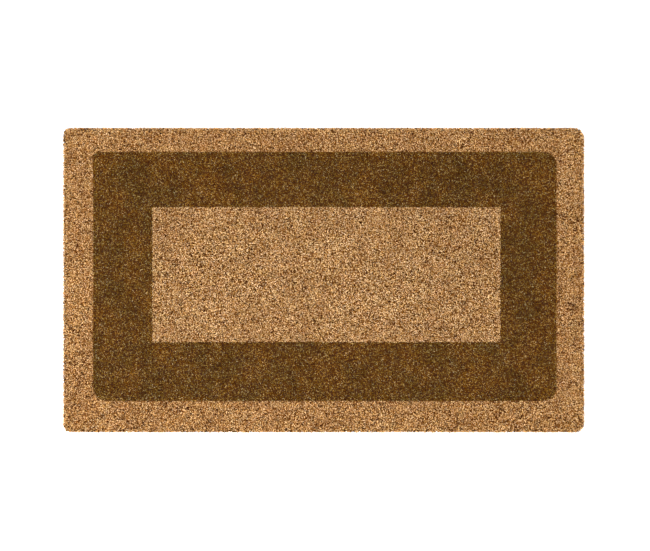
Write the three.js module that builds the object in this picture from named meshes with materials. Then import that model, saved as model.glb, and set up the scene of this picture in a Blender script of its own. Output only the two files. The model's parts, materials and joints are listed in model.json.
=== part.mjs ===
// Coir door mat: a flexible vinyl backing sheet with a bed of cut coconut-fibre pile planted in it.
// The pile is planted in three zones: a natural border, a dark dyed band and a natural centre panel.
// Millimetres, +Z up, +X along the long side, +Y towards the door. The origin is the centre of the underside.
import * as THREE from "three";

// Overall sizes
const matLength = 762;
const matDepth = 444.5;
const backingThickness = 3;
const pileHeight = 12;

// Corner radii of the cut outline, by corner: the knife leaves each corner a little different
const matCorner = { backLeft: 8.5, backRight: 14, frontLeft: 9.5, frontRight: 11.5 };

// The natural border that shows outside the band, on each side
const border = { left: 43.1, right: 39.6, back: 34.3, front: 45.4 };

// The dark band's width on each side, and the radii of its outer corners. Its inner corners are square.
const bandWidth = { left: 86.4, right: 82, back: 80.7, front: 85.8 };
const bandCorner = { backLeft: 6, backRight: 19, frontLeft: 20, frontRight: 19.5 };
const squareCorner = { backLeft: 0, backRight: 0, frontLeft: 0, frontRight: 0 };

// Neighbouring zones of pile stand this far apart
const zoneGap = 0.3;

const arcSegments = 6;

const colours = { vinyl: 0x1b1a19, naturalCoir: 0xa77d50, darkCoir: 0x64451f };

// A rectangle given by its four sides
const matSides = {
  left: -matLength / 2,
  right: matLength / 2,
  front: -matDepth / 2,
  back: matDepth / 2,
};
const bandSides = inset(matSides, border);
const panelSides = inset(bandSides, bandWidth);

function inset(sides, by) {
  return {
    left: sides.left + by.left,
    right: sides.right - by.right,
    front: sides.front + by.front,
    back: sides.back - by.back,
  };
}

function insetEvenly(sides, by) {
  return inset(sides, { left: by, right: by, front: by, back: by });
}

// Draws a rectangle with its own radius at each corner, anticlockwise from the front left
function drawOutline(path, sides, corner) {
  const { left, right, front, back } = sides;
  path.moveTo(left + corner.frontLeft, front);
  path.lineTo(right - corner.frontRight, front);
  turn(path, right - corner.frontRight, front + corner.frontRight, corner.frontRight, -0.5);
  path.lineTo(right, back - corner.backRight);
  turn(path, right - corner.backRight, back - corner.backRight, corner.backRight, 0);
  path.lineTo(left + corner.backLeft, back);
  turn(path, left + corner.backLeft, back - corner.backLeft, corner.backLeft, 0.5);
  path.lineTo(left, front + corner.frontLeft);
  turn(path, left + corner.frontLeft, front + corner.frontLeft, corner.frontLeft, 1);
  return path;
}

// A quarter turn about x, y, which starts at this many half turns. A square corner has none.
function turn(path, x, y, radius, halfTurns) {
  if (radius > 0) {
    path.absarc(x, y, radius, halfTurns * Math.PI, (halfTurns + 0.5) * Math.PI, false);
  }
}

// The same corner radii after the outline has moved outwards by this much. A square corner stays square.
function widened(corner, by) {
  const entries = Object.entries(corner);
  return Object.fromEntries(entries.map(([name, r]) => [name, r > 0 ? r + by : 0]));
}

function slab(name, shape, bottom, thickness, material) {
  const geometry = new THREE.ExtrudeGeometry(shape, {
    depth: thickness,
    bevelEnabled: false,
    curveSegments: arcSegments,
  });
  const mesh = new THREE.Mesh(geometry, material);
  mesh.name = name;
  mesh.position.z = bottom;
  return mesh;
}

function coir(colour) {
  return new THREE.MeshStandardMaterial({ color: colour, roughness: 0.95, metalness: 0 });
}

function backingSheet() {
  const vinyl = new THREE.MeshStandardMaterial({ color: colours.vinyl, roughness: 0.6, metalness: 0 });
  const outline = drawOutline(new THREE.Shape(), matSides, matCorner);
  return slab("backing_sheet", outline, 0, backingThickness, vinyl);
}

// A zone of pile stands on the sheet. A zone with another one inside it has a hole for that one.
function pileZone(name, sides, corner, colour, holeSides, holeCorner) {
  const outline = drawOutline(new THREE.Shape(), sides, corner);
  if (holeSides) {
    const room = insetEvenly(holeSides, -zoneGap);
    outline.holes.push(drawOutline(new THREE.Path(), room, widened(holeCorner, zoneGap)));
  }
  return slab(name, outline, backingThickness, pileHeight, coir(colour));
}

const mat = new THREE.Group();
mat.add(
  backingSheet(),
  pileZone("border_pile", matSides, matCorner, colours.naturalCoir, bandSides, bandCorner),
  pileZone("band_pile", bandSides, bandCorner, colours.darkCoir, panelSides, squareCorner),
  pileZone("centre_pile", panelSides, squareCorner, colours.naturalCoir),
);

export default mat;
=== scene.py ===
import json
import math

import bmesh
import bpy
import numpy as np
from mathutils import Matrix, Vector, noise

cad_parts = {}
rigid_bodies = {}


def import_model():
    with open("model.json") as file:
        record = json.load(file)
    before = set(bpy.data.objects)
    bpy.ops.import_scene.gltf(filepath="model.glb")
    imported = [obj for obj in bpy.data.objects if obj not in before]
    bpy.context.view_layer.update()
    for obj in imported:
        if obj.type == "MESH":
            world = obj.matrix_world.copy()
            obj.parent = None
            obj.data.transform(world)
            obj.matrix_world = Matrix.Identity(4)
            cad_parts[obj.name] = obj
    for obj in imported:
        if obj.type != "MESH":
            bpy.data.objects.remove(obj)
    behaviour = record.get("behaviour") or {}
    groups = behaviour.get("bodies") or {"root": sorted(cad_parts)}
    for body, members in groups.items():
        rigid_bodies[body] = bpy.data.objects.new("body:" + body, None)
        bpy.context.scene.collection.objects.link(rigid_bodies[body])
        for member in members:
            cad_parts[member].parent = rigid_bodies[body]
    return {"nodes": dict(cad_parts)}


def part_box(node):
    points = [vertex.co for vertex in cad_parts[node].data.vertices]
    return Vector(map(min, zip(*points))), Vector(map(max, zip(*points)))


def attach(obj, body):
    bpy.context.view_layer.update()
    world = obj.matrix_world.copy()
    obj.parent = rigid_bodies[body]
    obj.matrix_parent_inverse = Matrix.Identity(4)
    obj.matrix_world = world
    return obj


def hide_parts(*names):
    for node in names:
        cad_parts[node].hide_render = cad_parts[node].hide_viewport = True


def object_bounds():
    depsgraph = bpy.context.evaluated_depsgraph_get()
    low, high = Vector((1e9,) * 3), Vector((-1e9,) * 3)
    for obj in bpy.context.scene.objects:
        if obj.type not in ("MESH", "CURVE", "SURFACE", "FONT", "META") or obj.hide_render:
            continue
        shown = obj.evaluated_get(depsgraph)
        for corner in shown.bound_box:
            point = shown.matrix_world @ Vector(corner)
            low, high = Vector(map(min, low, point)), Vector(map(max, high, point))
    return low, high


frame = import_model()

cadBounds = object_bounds()
mm = 0.001


def boxSides(node):
    low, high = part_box(node)
    return {"left": low[0], "right": high[0], "front": low[1], "back": high[1]}


# the outlines in plan: the mat's own, the band's outer edge and the centre panel's
matOutline = {
    "sides": boxSides("border_pile"),
    "corners": {
        "backLeft": 8.5 * mm, "backRight": 14 * mm,
        "frontLeft": 9.5 * mm, "frontRight": 11.5 * mm,
    },
}
bandOutline = {
    "sides": boxSides("band_pile"),
    "corners": {
        "backLeft": 6 * mm, "backRight": 19 * mm,
        "frontLeft": 20 * mm, "frontRight": 19.5 * mm,
    },
}
panelOutline = {
    "sides": boxSides("centre_pile"),
    "corners": {"backLeft": 0.0, "backRight": 0.0, "frontLeft": 0.0, "frontRight": 0.0},
}
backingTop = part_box("backing_sheet")[1][2]


def sizeOf(sides):
    return sides["right"] - sides["left"], sides["back"] - sides["front"]


def middleOf(sides):
    return (sides["left"] + sides["right"]) / 2, (sides["front"] + sides["back"]) / 2


def outlineDistance(x, y, outline):
    # how far each point is outside a rectangle with rounded corners, negative inside
    sides, corners = outline["sides"], outline["corners"]
    midX, midY = middleOf(sides)
    width, depth = sizeOf(sides)
    atRight, atBack = x > midX, y > midY
    radius = np.where(
        atBack,
        np.where(atRight, corners["backRight"], corners["backLeft"]),
        np.where(atRight, corners["frontRight"], corners["frontLeft"]),
    )
    overX = np.abs(x - midX) - width / 2 + radius
    overY = np.abs(y - midY) - depth / 2 + radius
    outside = np.hypot(np.maximum(overX, 0), np.maximum(overY, 0))
    return np.minimum(np.maximum(overX, overY), 0) + outside - radius


def zoneInside(x, y, zone, drawnIn=0.0, holeGap=0.0):
    # how far each point is inside a zone of pile, whose own hole counts as outside
    inside = -outlineDistance(x, y, zone["outline"]) - drawnIn
    if zone["hole"]:
        inside = np.minimum(inside, outlineDistance(x, y, zone["hole"]) - holeGap)
    return inside


def movedTo(depth, x, y, insideAt):
    # points moved straight in or out until they are that deep inside an outline
    step, rounds = 0.05 * mm, 3
    for turn in range(rounds):
        inside = insideAt(x, y)
        slopeX = (insideAt(x + step, y) - inside) / step
        slopeY = (insideAt(x, y + step) - inside) / step
        x, y = x + (depth - inside) * slopeX, y + (depth - inside) * slopeY
    return x, y


def newPiece(name, mesh, material):
    piece = bpy.data.objects.new(name, mesh)
    bpy.context.scene.collection.objects.link(piece)
    mesh.materials.clear()
    mesh.materials.append(material)
    return piece


def finishPiece(piece, node):
    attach(piece, "root")
    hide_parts(node)


def newMaterial(name):
    material = bpy.data.materials.new(name)
    material.use_nodes = True
    tree = material.node_tree
    return material, tree, tree.nodes["Principled BSDF"]


def addNode(tree, kind, **values):
    node = tree.nodes.new(kind)
    for key, value in values.items():
        setattr(node, key, value)
    return node


def addRamp(tree, factor, stops):
    ramp = addNode(tree, "ShaderNodeValToRGB")
    elements = ramp.color_ramp.elements
    while len(elements) < len(stops):
        elements.new(0.5)
    for element, (place, colour) in zip(elements, stops):
        element.position = place
        element.color = (*colour, 1)
    tree.links.new(factor, ramp.inputs["Fac"])
    return ramp.outputs["Color"]


def addNoise(tree, coordinates, scale, detail, roughness):
    texture = addNode(tree, "ShaderNodeTexNoise")
    texture.inputs["Scale"].default_value = scale
    texture.inputs["Detail"].default_value = detail
    texture.inputs["Roughness"].default_value = roughness
    tree.links.new(coordinates, texture.inputs["Vector"])
    return texture


def addMix(tree, blend, factor, first, second):
    mix = addNode(tree, "ShaderNodeMix", data_type="RGBA", blend_type=blend)
    mix.inputs["Factor"].default_value = factor
    colours = [socket for socket in mix.inputs if socket.type == "RGBA"]
    for socket, source in zip(colours, (first, second)):
        tree.links.new(source, socket)
    return next(socket for socket in mix.outputs if socket.type == "RGBA")


def setRoughness(tree, shader, value, finish):
    # the roughness follows a noise, from its smoothest to its roughest
    span = addNode(tree, "ShaderNodeMapRange")
    span.inputs["From Min"].default_value = finish["span"][0]
    span.inputs["From Max"].default_value = finish["span"][1]
    span.inputs["To Min"].default_value = finish["roughness"][0]
    span.inputs["To Max"].default_value = finish["roughness"][1]
    tree.links.new(value, span.inputs["Value"])
    tree.links.new(span.outputs["Result"], shader.inputs["Roughness"])


def addBump(tree, shader, height, finish):
    bump = addNode(tree, "ShaderNodeBump")
    bump.inputs["Strength"].default_value = finish["bump"]
    bump.inputs["Distance"].default_value = finish["bumpDepth"]
    tree.links.new(height, bump.inputs["Height"])
    tree.links.new(bump.outputs["Normal"], shader.inputs["Normal"])


# colours of single strands, from the darkest to the palest
naturalStrands = [
    (0.0, (0.06, 0.010, 0.0)),
    (0.14, (0.36, 0.125, 0.008)),
    (0.28, (0.76, 0.44, 0.15)),
    (0.7, (0.83, 0.56, 0.275)),
    (1.0, (0.85, 0.61, 0.355)),
]
darkStrands = [
    (0.0, (0.055, 0.012, 0.0)),
    (0.3, (0.14, 0.051, 0.001)),
    (0.6, (0.25, 0.113, 0.011)),
    (0.85, (0.38, 0.225, 0.075)),
    (1.0, (0.55, 0.40, 0.25)),
]
# the mottle and flecks multiply them, over the range of two fine noises: the fibre's own flecks
# and paler spots, with painted shade of the gaps among tufts at their darkest
naturalMottleAndShade = [
    (0.36, (0.02, 0.003, 0.0)),
    (0.43, (0.45, 0.28, 0.11)),
    (0.48, (1.0, 1.01, 1.0)),
    (0.62, (1.02, 1.11, 1.34)),
]
darkMottleAndShade = [
    (0.35, (0.24, 0.1, 0.002)),
    (0.43, (0.62, 0.47, 0.16)),
    (0.5, (1, 1, 0.9)),
    (0.62, (1.4, 1.66, 2.6)),
]
naturalLook = {
    "strands": naturalStrands,
    "mottleAndShade": naturalMottleAndShade,
    # the flecks' dark end is painted shade of pits in the pile
    "flecksAndShade": [(0.36, (0.05, 0.005, 0.0)), (0.43, (1, 1, 1))],
    # root and middle darken each strand towards its root, painted shade low in the pile
    "root": (0.25, 0.13, 0.03),
    "middle": (0.76, 0.68, 0.56),
}
borderLook = naturalLook | {
    "name": "borderCoir",
    "tint": (1.083, 1.017, 0.907),
    "patchLight": (1.05, 1.09, 1.11),
    "patchDull": (0.91, 0.90, 0.88),
}
centreLook = naturalLook | {
    "name": "centreCoir",
    "tint": (1.112, 1.097, 1.057),
    "patchLight": (1.05, 1.09, 1.12),
    "patchDull": (0.91, 0.90, 0.87),
}
bandLook = {
    "name": "bandCoir",
    "strands": darkStrands,
    "mottleAndShade": darkMottleAndShade,
    # the flecks' dark end is painted shade of pits in the pile
    "flecksAndShade": [(0.32, (0.40, 0.28, 0.04)), (0.40, (1, 1, 1))],
    "tint": (0.92, 0.88, 0.573),
    # root and middle darken each strand towards its root, painted shade low in the pile
    "root": (0.34, 0.22, 0.04),
    "middle": (0.71, 0.61, 0.42),
    "patchLight": (1.16, 1.11, 1.05),
    "patchDull": (0.81, 0.87, 0.93),
}


def tinted(look):
    return [
        (at, tuple(min(1, part * by) for part, by in zip(colour, look["tint"])))
        for at, colour in look["strands"]
    ]


# the noises over the strands, each as scale, detail and roughness, and the strands' finish
coir = {
    "mottleAndShade": (620, 2, 0.5),
    "flecksAndShade": (430, 1, 0.5),
    "patches": (26, 3, 0.6),
    "patchSpan": (0.38, 0.62),
    "hue": (75, 2, 0.6),
    "hueStrength": 0.07,
    "tuftStretch": 0.25,  # the lower, the further down a shade runs
    # along each strand: where the painted root shade is fullest, where it is half lifted and where
    # it is gone
    "rootShadeEnd": 0.18,
    "middleAt": 0.6,
    "tipStart": 0.93,
    "span": (0.3, 0.7),
    "roughness": (0.62, 0.86),
    "gloss": 0.06,
    "bump": 0.35,
    "bumpDepth": 0.15 * mm,
}


def coirMaterial(look):
    material, tree, shader = newMaterial(look["name"])
    place = addNode(tree, "ShaderNodeTexCoord").outputs["Object"]
    tone = addNode(tree, "ShaderNodeAttribute", attribute_name="tone").outputs["Fac"]
    rise = addNode(tree, "ShaderNodeAttribute", attribute_name="rise").outputs["Fac"]
    strand = addRamp(tree, tone, tinted(look))
    # each strand is darker at its root: painted shade low in the pile
    paintedRootShade = [
        (coir["rootShadeEnd"], look["root"]),
        (coir["middleAt"], look["middle"]),
        (coir["tipStart"], (1, 1, 1)),
    ]
    strand = addMix(tree, "MULTIPLY", 1.0, strand, addRamp(tree, rise, paintedRootShade))
    # the mottle and flecks, with their painted shade, run down through the pile, as neighbouring
    # fibres of a tuft do
    tuft = addNode(tree, "ShaderNodeMapping")
    tuft.inputs["Scale"].default_value = (1, 1, coir["tuftStretch"])
    tree.links.new(place, tuft.inputs["Vector"])
    tuft = tuft.outputs["Vector"]
    mottleAndShade = addNoise(tree, tuft, *coir["mottleAndShade"]).outputs["Fac"]
    strand = addMix(tree, "MULTIPLY", 1.0, strand, addRamp(tree, mottleAndShade, look["mottleAndShade"]))
    flecksAndShade = addNoise(tree, tuft, *coir["flecksAndShade"]).outputs["Fac"]
    strand = addMix(tree, "MULTIPLY", 1.0, strand, addRamp(tree, flecksAndShade, look["flecksAndShade"]))
    # the fibre is a little lighter or duller from place to place, and its hue wanders
    wide = addNoise(tree, place, *coir["patches"]).outputs["Fac"]
    patches = list(zip(coir["patchSpan"], (look["patchDull"], look["patchLight"])))
    strand = addMix(tree, "MULTIPLY", 1.0, strand, addRamp(tree, wide, patches))
    hue = addNoise(tree, place, *coir["hue"]).outputs["Color"]
    strand = addMix(tree, "OVERLAY", coir["hueStrength"], strand, hue)
    tree.links.new(strand, shader.inputs["Base Color"])
    setRoughness(tree, shader, mottleAndShade, coir)
    shader.inputs["Specular IOR Level"].default_value = coir["gloss"]
    addBump(tree, shader, mottleAndShade, coir)
    return material


# the core's finish, whose shade is painted shade multiplied into the coir's colours
shadedCoreCoir = {
    "shade": (0.24, 0.14, 0.05),
    "noise": (700, 4, 0.7),
    "span": (0.3, 0.7),
    "roughness": (0.8, 0.98),
    "bump": 0.8,
    "bumpDepth": 1.0 * mm,
}


def coreMaterial(look):
    # the same coir, darkened by painted shade
    material, tree, shader = newMaterial(look["name"] + "Core")
    place = addNode(tree, "ShaderNodeTexCoord").outputs["Object"]
    fine = addNoise(tree, place, *shadedCoreCoir["noise"]).outputs["Fac"]
    # its colours are drawn together over the middle half of the noise
    paintedShadeStops = [
        (0.25 + at / 2, tuple(part * by for part, by in zip(colour, shadedCoreCoir["shade"])))
        for at, colour in tinted(look)
    ]
    tree.links.new(addRamp(tree, fine, paintedShadeStops), shader.inputs["Base Color"])
    setRoughness(tree, shader, fine, shadedCoreCoir)
    addBump(tree, shader, fine, shadedCoreCoir)
    return material


# the strands to plant: bent ones stand along the mat's edge, straight ones fill its top
strands = {
    "bent": 8,
    "straight": 8,
    "radius": 0.38 * mm,
    "bend": 0.75 * mm,
    "bendRange": (0.35, 1.3),
    "tipBend": -0.2,
    "middle": 1.05,
    "tip": 0.85,
    "seed": 11,
}
# how much of its cell in the colour map a strand fills, and how high its end's triangle is there
cells = {"filled": 0.76, "end": 0.06}


def makeStrand(index, rng):
    # three-sided, one unit long and cut square at the tip
    radius = strands["radius"]
    bend = strands["bend"] * rng.uniform(*strands["bendRange"])
    bendAngle = 2 * math.pi * index / strands["bent"]
    rings = [(1.0, 0.0, strands["tip"])]
    if index < strands["bent"]:
        rings = [(0.5, bend, strands["middle"]), (1.0, strands["tipBend"] * bend, strands["tip"])]
    shape = bmesh.new()
    cornerLayer = shape.verts.layers.int.new("corner")
    riseLayer = shape.verts.layers.float.new("rise")
    ring = bmesh.ops.create_circle(shape, cap_ends=True, segments=3, radius=radius)["verts"]
    turned = Matrix.Rotation(rng.uniform(0, 2), 3, "Z")  # any way round
    bmesh.ops.rotate(shape, verts=ring, cent=(0, 0, 0), matrix=turned)
    for number, vert in enumerate(ring):
        vert[cornerLayer] = number
    shape.faces.ensure_lookup_table()
    face = shape.faces[0]
    for step, (rise, offset, width) in enumerate(rings):
        inner = [face] if step else []
        raised = bmesh.ops.extrude_face_region(shape, geom=[face])["geom"]
        # the face between two lengths is inside the strand, so it goes
        inner = [part for part in inner if part.is_valid]
        bmesh.ops.delete(shape, geom=inner, context="FACES_ONLY")
        ring = [part for part in raised if isinstance(part, bmesh.types.BMVert)]
        face = next(part for part in raised if isinstance(part, bmesh.types.BMFace))
        middle = Vector((math.cos(bendAngle) * offset, math.sin(bendAngle) * offset, rise))
        centre = sum((vert.co for vert in ring), Vector()) / 3
        for vert in ring:
            vert.co = middle + (vert.co - centre).normalized() * radius * width
            vert[riseLayer] = rise
    bmesh.ops.recalc_face_normals(shape, faces=shape.faces)
    # each side of the strand is laid out as one upright strip
    strip = shape.loops.layers.uv.new("strip")
    for side in shape.faces:
        numbers = sorted({loop.vert[cornerLayer] for loop in side.loops})
        first = 2 if numbers == [0, 2] else numbers[0]
        for loop in side.loops:
            number, rise = loop.vert[cornerLayer], loop.vert[riseLayer]
            if len(side.loops) == 3:
                loop[strip].uv = (number / 2, abs(rise - (cells["end"] if number == 1 else 0)))
            else:
                loop[strip].uv = (0 if number == first else 1, rise)
    mesh = bpy.data.meshes.new(f"strand{index:02d}")
    shape.to_mesh(mesh)
    shape.free()
    return bpy.data.objects.new(mesh.name, mesh)


def makeStrands():
    rng = np.random.default_rng(strands["seed"])
    box = bpy.data.collections.new("strands")
    for index in range(strands["bent"] + strands["straight"]):
        box.objects.link(makeStrand(index, rng))
    return box


def plantingNodes(box):
    # sets one of the strands on each point, turned and stretched by the point's own values
    tree = bpy.data.node_groups.new("planting", "GeometryNodeTree")
    tree.interface.new_socket("Geometry", in_out="INPUT", socket_type="NodeSocketGeometry")
    tree.interface.new_socket("Geometry", in_out="OUTPUT", socket_type="NodeSocketGeometry")
    start, end = tree.nodes.new("NodeGroupInput"), tree.nodes.new("NodeGroupOutput")
    kinds = tree.nodes.new("GeometryNodeCollectionInfo")
    kinds.inputs["Collection"].default_value = box
    kinds.inputs["Separate Children"].default_value = True
    kinds.inputs["Reset Children"].default_value = True
    plant = tree.nodes.new("GeometryNodeInstanceOnPoints")
    plant.inputs["Pick Instance"].default_value = True
    realize = tree.nodes.new("GeometryNodeRealizeInstances")
    tree.links.new(start.outputs[0], plant.inputs["Points"])
    tree.links.new(kinds.outputs[0], plant.inputs["Instance"])
    for kind, name, socket in (
        ("INT", "kind", "Instance Index"),
        ("FLOAT_VECTOR", "turn", "Rotation"),
        ("FLOAT_VECTOR", "stretch", "Scale"),
    ):
        value = addNode(tree, "GeometryNodeInputNamedAttribute", data_type=kind)
        value.inputs["Name"].default_value = name
        tree.links.new(value.outputs["Attribute"], plant.inputs[socket])
    tree.links.new(plant.outputs[0], realize.inputs[0])
    tree.links.new(realize.outputs[0], end.inputs[0])
    return tree


pile = {
    "spacing": 1.27 * mm,
    "top": 14.7 * mm,
    "unevenness": 0.75 * mm,
    "rootHeight": 8.8 * mm,
    "leanLow": math.radians(10),
    "leanHigh": math.radians(50),
    "thin": 0.6,
    "thick": 1.25,
    "tries": 12,
    "easing": 0.94,  # of its lean, kept at each new try
    "seed": 23,
}


def plantTop(zone, rng):
    # chooses where every strand's tip goes and which way it leans
    sides = zone["outline"]["sides"]
    width, depth = sizeOf(sides)
    # one strand somewhere in each square of a fine grid, so that none of the mat is bare
    spacing = pile["spacing"]
    across, along = math.ceil(width / spacing) + 2, math.ceil(depth / spacing) + 2
    column, row = np.meshgrid(np.arange(across) - 1.0, np.arange(along) - 1.0)
    x = sides["left"] + (column.ravel() + rng.uniform(0, 1, column.size)) * spacing
    y = sides["front"] + (row.ravel() + rng.uniform(0, 1, row.size)) * spacing
    kept = zoneInside(x, y, zone) > -zone["overlap"]
    x, y = x[kept], y[kept]
    count = len(x)
    z = pile["top"] - np.abs(rng.normal(0, pile["unevenness"], count))
    lean = rng.uniform(pile["leanLow"], pile["leanHigh"], count)
    heading = rng.uniform(0, 2 * math.pi, count)
    # a strand whose root would be outside its zone leans another way, and more upright
    for turn in range(pile["tries"]):
        reach = (z - pile["rootHeight"]) * np.tan(lean)
        rootX, rootY = x - reach * np.cos(heading), y - reach * np.sin(heading)
        outside = zoneInside(rootX, rootY, zone) < -zone["overlap"]
        heading[outside] = rng.uniform(0, 2 * math.pi, outside.sum())
        lean[outside] *= pile["easing"]
    return {
        "x": rootX,
        "y": rootY,
        "z": np.full(count, pile["rootHeight"]),
        "length": (z - pile["rootHeight"]) / np.cos(lean),
        "lean": lean,
        "heading": heading,
        "thick": rng.uniform(pile["thin"], pile["thick"], count),
        "tone": rng.uniform(0, 1, count),
        "kind": rng.integers(strands["bent"], strands["bent"] + strands["straight"], count),
    }


rim = {
    "spacing": 0.235 * mm,
    "proud": 1.45 * mm,
    "depth": 2.6 * mm,
    "outwards": 1.6,  # above 1, more tips are near the outside
    "rootDepth": (0.3 * mm, 2.6 * mm),
    "sunk": (0.1 * mm, 0.5 * mm),
    "sway": math.radians(15),
    "unevenness": 0.7 * mm,
    "short": 2.5 * mm,
    "fewShort": 4,  # the higher, the fewer strands are short
    "cornerPoints": 13,
    "thin": 0.65,
    "thick": 1.35,
    # the rim strands stop short of the palest colours: painted shade along the lit cut edge
    "shadedPalest": 0.75,  # of the range of strand colours
}


def plantRim(zone, rng):
    # upright strands all along the cut edge, from the backing to the top of the pile
    sides, corners = zone["outline"]["sides"], zone["outline"]["corners"]
    points = []
    for corner, cornerX, cornerY, startAngle in (
        ("frontRight", sides["right"], sides["front"], -90),
        ("backRight", sides["right"], sides["back"], 0),
        ("backLeft", sides["left"], sides["back"], 90),
        ("frontLeft", sides["left"], sides["front"], 180),
    ):
        radius = corners[corner]
        centreX = cornerX - math.copysign(radius, cornerX)
        centreY = cornerY - math.copysign(radius, cornerY)
        angles = np.radians(np.linspace(startAngle, startAngle + 90, rim["cornerPoints"]))
        for angle in angles:
            points.append((centreX + radius * math.cos(angle), centreY + radius * math.sin(angle)))
    loop = np.array(points + points[:1])
    legs = np.hypot(*np.diff(loop, axis=0).T)
    along = np.concatenate([[0], np.cumsum(legs)])
    count = int(along[-1] / rim["spacing"])
    at = (np.arange(count) + rng.uniform(0, 1, count)) / count * along[-1]
    leg = np.clip(np.searchsorted(along, at) - 1, 0, len(legs) - 1)
    way = np.diff(loop, axis=0)[leg] / legs[leg][:, None]
    inwards = np.stack([-way[:, 1], way[:, 0]], 1)
    # rooted inside the edge, with tips that spread a little past it and lean to and fro along it
    rootDeep = rng.uniform(*rim["rootDepth"], count)
    tipDeep = rim["depth"] * rng.uniform(0, 1, count) ** rim["outwards"] - rim["proud"]
    x = np.interp(at, along, loop[:, 0]) + inwards[:, 0] * rootDeep
    y = np.interp(at, along, loop[:, 1]) + inwards[:, 1] * rootDeep
    bottom = backingTop - rng.uniform(*rim["sunk"], count)
    top = pile["top"] - np.abs(rng.normal(0, rim["unevenness"], count))
    top -= rng.uniform(0, 1, count) ** rim["fewShort"] * rim["short"]
    sway = np.tan(rng.normal(0, rim["sway"], count)) * (top - bottom)
    tipX, tipY = movedTo(
        tipDeep, x + way[:, 0] * sway, y + way[:, 1] * sway,
        lambda atX, atY: -outlineDistance(atX, atY, zone["outline"]),
    )
    slopeX, slopeY = (tipX - x) / (top - bottom), (tipY - y) / (top - bottom)
    lean = np.arctan(np.hypot(slopeX, slopeY))
    return {
        "x": x,
        "y": y,
        "z": bottom,
        "length": (top - bottom) / np.cos(lean),
        "lean": lean,
        "heading": np.arctan2(slopeY, slopeX),
        "thick": rng.uniform(rim["thin"], rim["thick"], count),
        # darker tones on the rim, painted shade along the cut edge
        "tone": rng.uniform(0, rim["shadedPalest"], count),
        "kind": rng.integers(0, strands["bent"], count),
    }


def layOut(mesh, number):
    # gives every strand a cell of its own in the colour map
    vertexOf = np.empty(len(mesh.loops), np.int32)
    mesh.loops.foreach_get("vertex_index", vertexOf)
    cell = np.empty(len(mesh.vertices), np.int32)
    mesh.attributes["cell"].data.foreach_get("value", cell)
    strip = np.empty(len(mesh.loops) * 2, np.float32)
    mesh.attributes["strip"].data.foreach_get("vector", strip)
    across = math.ceil(math.sqrt(number))
    cell = cell[vertexOf]
    corner = np.stack([cell % across, cell // across], 1)
    place = (corner + 0.5 + (strip.reshape(-1, 2) - 0.5) * cells["filled"]) / across
    for name in ("strip", "cell", "kind", "turn", "stretch", "corner"):
        if name in mesh.attributes:
            mesh.attributes.remove(mesh.attributes[name])
    layout = mesh.uv_layers.new(name="OFBake")
    layout.data.foreach_set("uv", place.astype(np.float32).ravel())


def growPiece(name, planting, material, growing):
    # a strand on every root, made one mesh
    number = len(planting["x"])
    turn = (np.zeros(number), planting["lean"], planting["heading"])
    stretch = (planting["thick"], planting["thick"], planting["length"])
    roots = np.stack([planting[key] for key in ("x", "y", "z")], 1)
    points = bpy.data.meshes.new("roots")
    points.vertices.add(number)
    points.vertices.foreach_set("co", roots.ravel())
    for key, kind, field, values in (
        ("turn", "FLOAT_VECTOR", "vector", turn),
        ("stretch", "FLOAT_VECTOR", "vector", stretch),
        ("tone", "FLOAT", "value", (planting["tone"],)),
        ("kind", "INT", "value", (planting["kind"],)),
        ("cell", "INT", "value", (np.arange(number),)),
    ):
        attribute = points.attributes.new(key, kind, "POINT")
        attribute.data.foreach_set(field, np.stack(values, 1).ravel())
    planter = bpy.data.objects.new("planter", points)
    bpy.context.scene.collection.objects.link(planter)
    planter.modifiers.new("planting", "NODES").node_group = growing
    graph = bpy.context.evaluated_depsgraph_get()
    mesh = bpy.data.meshes.new_from_object(planter.evaluated_get(graph))
    bpy.data.objects.remove(planter)
    bpy.data.meshes.remove(points)
    mesh.name = name
    layOut(mesh, number)
    mesh.shade_smooth()
    return newPiece(name, mesh, material)


core = {
    "cell": 5 * mm,
    "top": 9.9 * mm,
    "bumps": 1.0 * mm,
    "bumpSize": 7 * mm,
    "seam": 0.2 * mm,
    "order": Vector((1, 37.7, 911.3)),  # a way along which no two parts are level
}


def makeCore(zone, material):
    # the dense body of the pile under the loose ends: a grid cut to the zone, then raised
    sides = zone["outline"]["sides"]
    width, depth = sizeOf(sides)
    middle = Vector((*middleOf(sides), backingTop - core["seam"]))
    shape = bmesh.new()
    bmesh.ops.create_grid(
        shape,
        x_segments=round(width / core["cell"]),
        y_segments=round(depth / core["cell"]),
        size=0.5,
        matrix=Matrix.Translation(middle) @ Matrix.Diagonal((width, depth, 1, 1)),
    )
    reach = (zone["coreDrawnIn"], core["seam"])
    centres = np.array([face.calc_center_median() for face in shape.faces])
    outside = zoneInside(centres[:, 0], centres[:, 1], zone, *reach) < 0
    spare = [face for face, out in zip(shape.faces[:], outside) if out]
    bmesh.ops.delete(shape, geom=spare, context="FACES")
    # its ragged edge is drawn to the zone's outline
    edge = [vert for vert in shape.verts if vert.is_boundary]
    x, y = np.array([vert.co[:2] for vert in edge]).T
    x, y = movedTo(0, x, y, lambda atX, atY: zoneInside(atX, atY, zone, *reach))
    for vert, newX, newY in zip(edge, x, y):
        vert.co.x, vert.co.y = newX, newY
    raised = bmesh.ops.extrude_face_region(shape, geom=shape.faces[:], use_keep_orig=True)["geom"]
    for vert in (part for part in raised if isinstance(part, bmesh.types.BMVert)):
        vert.co.z = core["top"] + core["bumps"] * noise.noise(vert.co / core["bumpSize"])
    bmesh.ops.recalc_face_normals(shape, faces=shape.faces)
    # extruding leaves the order of its parts to chance, so they are put in one order
    shape.verts.sort(key=lambda vert: vert.co.dot(core["order"]))
    shape.faces.sort(key=lambda face: face.calc_center_median().dot(core["order"]))
    mesh = bpy.data.meshes.new(zone["name"] + "Core")
    shape.to_mesh(mesh)
    shape.free()
    return newPiece(mesh.name, mesh, material)


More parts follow.
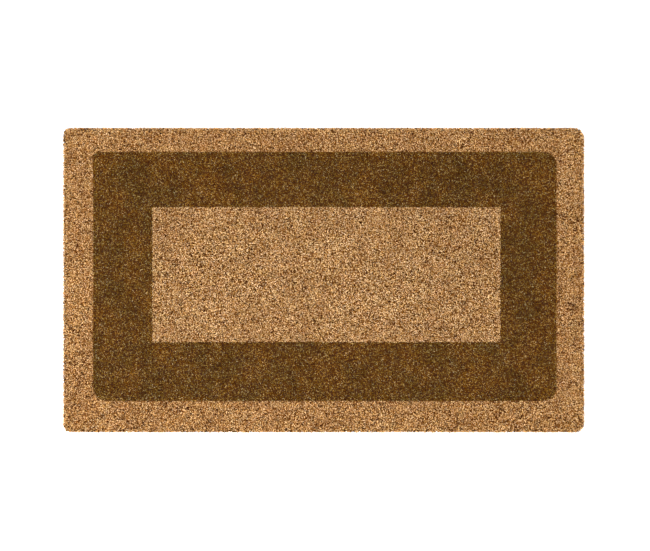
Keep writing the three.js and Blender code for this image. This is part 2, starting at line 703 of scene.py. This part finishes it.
# tips pass a zone's outline by no more than its overlap, and its core stays drawn in from it
zones = (
    {
        "name": "borderPile", "node": "border_pile", "slot": "natural_coir", "look": borderLook,
        "outline": matOutline, "hole": bandOutline, "parts": 4,
        "overlap": -0.1 * mm, "coreDrawnIn": 2.2 * mm,
    },
    {
        "name": "bandPile", "node": "band_pile", "slot": "dark_coir", "look": bandLook,
        "outline": bandOutline, "hole": panelOutline, "parts": 4,
        "overlap": 0.7 * mm, "coreDrawnIn": 0.2 * mm,
    },
    {
        "name": "centrePile", "node": "centre_pile", "slot": "natural_coir", "look": centreLook,
        "outline": panelOutline, "hole": None, "parts": 5,
        "overlap": 0.25 * mm, "coreDrawnIn": 0.2 * mm,
    },
)

strandBox = makeStrands()
growing = plantingNodes(strandBox)
rng = np.random.default_rng(pile["seed"])
pilePieces = []
for zone in zones:
    planting = plantTop(zone, rng)
    if zone["outline"] is matOutline:
        edgeStrands = plantRim(zone, rng)
        planting = {key: np.concatenate([planting[key], edgeStrands[key]]) for key in planting}
    material = coirMaterial(zone["look"])
    order = rng.permutation(len(planting["x"]))
    made = [makeCore(zone, coreMaterial(zone["look"]))]
    for part in range(zone["parts"]):
        chosen = order[part::zone["parts"]]
        share = {key: values[chosen] for key, values in planting.items()}
        made.append(growPiece(f"{zone['name']}{part + 1}", share, material, growing))
    for piece in made:
        finishPiece(piece, zone["node"])
    pilePieces += made
    print(zone["name"], len(order), "strands in", zone["parts"], "pieces")
# the loose strands and the planting nodes aren't needed any more
bpy.data.node_groups.remove(growing)
for strand in strandBox.objects[:]:
    bpy.data.meshes.remove(strand.data)
bpy.data.collections.remove(strandBox)


vinylLook = {
    "dust": [
        (0.35, (0.010, 0.0095, 0.009)),
        (0.55, (0.017, 0.016, 0.015)),
        (0.8, (0.04, 0.036, 0.031)),
    ],
    "dustNoise": (14, 5, 0.65),
    # painted shade in the pebbles' dimples and painted light on their ridges
    "pebbleShadeAndLight": [(0.25, (0.7, 0.7, 0.7)), (0.6, (1.15, 1.13, 1.1))],
    "pebbles": 520,
    "span": (0.35, 0.7),
    "roughness": (0.5, 0.78),
    "gloss": 0.35,
    "bump": 0.6,
    "bumpDepth": 0.35 * mm,
}


def vinylMaterial():
    material, tree, shader = newMaterial("vinylBacking")
    place = addNode(tree, "ShaderNodeTexCoord").outputs["Object"]
    pebble = addNode(tree, "ShaderNodeTexVoronoi", feature="SMOOTH_F1")
    pebble.inputs["Scale"].default_value = vinylLook["pebbles"]
    tree.links.new(place, pebble.inputs["Vector"])
    pebble = pebble.outputs["Distance"]
    # dust and scuffs in wide patches, over painted shade in the pebbles' dimples and painted light
    # on their ridges
    dusty = addNoise(tree, place, *vinylLook["dustNoise"]).outputs["Fac"]
    colour = addRamp(tree, dusty, vinylLook["dust"])
    colour = addMix(tree, "MULTIPLY", 1.0, colour, addRamp(tree, pebble, vinylLook["pebbleShadeAndLight"]))
    tree.links.new(colour, shader.inputs["Base Color"])
    setRoughness(tree, shader, dusty, vinylLook)
    shader.inputs["Specular IOR Level"].default_value = vinylLook["gloss"]
    addBump(tree, shader, pebble, vinylLook)
    return material


backing = {
    "rounding": 0.5 * mm,
    "weld": 0.01 * mm,
    "flattest": math.radians(1),
    "edgeAngle": math.radians(60),
}


def makeBacking():
    # the vinyl sheet with its cut edges eased
    shape = bmesh.new()
    shape.from_mesh(frame["nodes"]["backing_sheet"].data)
    bmesh.ops.remove_doubles(shape, verts=shape.verts, dist=backing["weld"])
    bmesh.ops.dissolve_limit(
        shape, angle_limit=backing["flattest"], verts=shape.verts, edges=shape.edges,
    )
    rims = [edge for edge in shape.edges if edge.calc_face_angle(0) > backing["edgeAngle"]]
    bmesh.ops.bevel(
        shape, geom=rims, offset=backing["rounding"],
        affect="EDGES", segments=2, profile=0.5, material=-1,
    )
    bmesh.ops.recalc_face_normals(shape, faces=shape.faces)
    mesh = bpy.data.meshes.new("backing")
    shape.to_mesh(mesh)
    shape.free()
    piece = newPiece("backing", mesh, vinylMaterial())
    finishPiece(piece, "backing_sheet")
    return piece


sheet = makeBacking()
print("backing made")


studio = {
    "floor": 0.85,
    "floorRoughness": 0.9,
    "floorGloss": 0.1,
    "glow": 0.5,
    "world": 1.3,
    "size": 8,
}
lamps = (
    {"name": "key", "place": (-1.5, -1.6, 2.0), "size": 1.3, "power": 165},
    {"name": "fill", "place": (1.8, 1.2, 2.2), "size": 1.8, "power": 24},
)


def makeStudio():
    shape = bmesh.new()
    bmesh.ops.create_grid(shape, x_segments=1, y_segments=1, size=studio["size"])
    mesh = bpy.data.meshes.new("floor")
    shape.to_mesh(mesh)
    shape.free()
    material, tree, shader = newMaterial("paleFloor")
    shader.inputs["Base Color"].default_value = (studio["floor"],) * 3 + (1,)
    shader.inputs["Roughness"].default_value = studio["floorRoughness"]
    shader.inputs["Specular IOR Level"].default_value = studio["floorGloss"]
    shader.inputs["Emission Color"].default_value = (1, 1, 1, 1)
    shader.inputs["Emission Strength"].default_value = studio["glow"]
    newPiece("floor", mesh, material)
    world = bpy.data.worlds.new("studio")
    bpy.context.scene.world = world
    world.use_nodes = True
    sky = world.node_tree.nodes["Background"]
    sky.inputs["Color"].default_value = (1, 1, 1, 1)
    sky.inputs["Strength"].default_value = studio["world"]
    for lamp in lamps:
        light = bpy.data.lights.new(lamp["name"], "AREA")
        light.size = lamp["size"]
        light.energy = lamp["power"]
        stand = bpy.data.objects.new(lamp["name"], light)
        stand.location = lamp["place"]
        stand.rotation_euler = (-Vector(lamp["place"])).to_track_quat("-Z", "Y").to_euler()
        bpy.context.scene.collection.objects.link(stand)


view = {"lens": 90, "sensor": 36, "height": 2.381, "aside": 1.9 * mm, "back": 6.9 * mm}


def makeCamera():
    # straight above the mat, a little off its middle
    data = bpy.data.cameras.new("camera")
    data.lens = view["lens"]
    data.sensor_width = view["sensor"]
    camera = bpy.data.objects.new("camera", data)
    camera.location = (view["aside"], view["back"], view["height"] + cadBounds[1][2])
    bpy.context.scene.collection.objects.link(camera)
    bpy.context.scene.camera = camera


makeStudio()
makeCamera()
bpy.context.scene.view_settings.view_transform = "Standard"
print("studio ready")
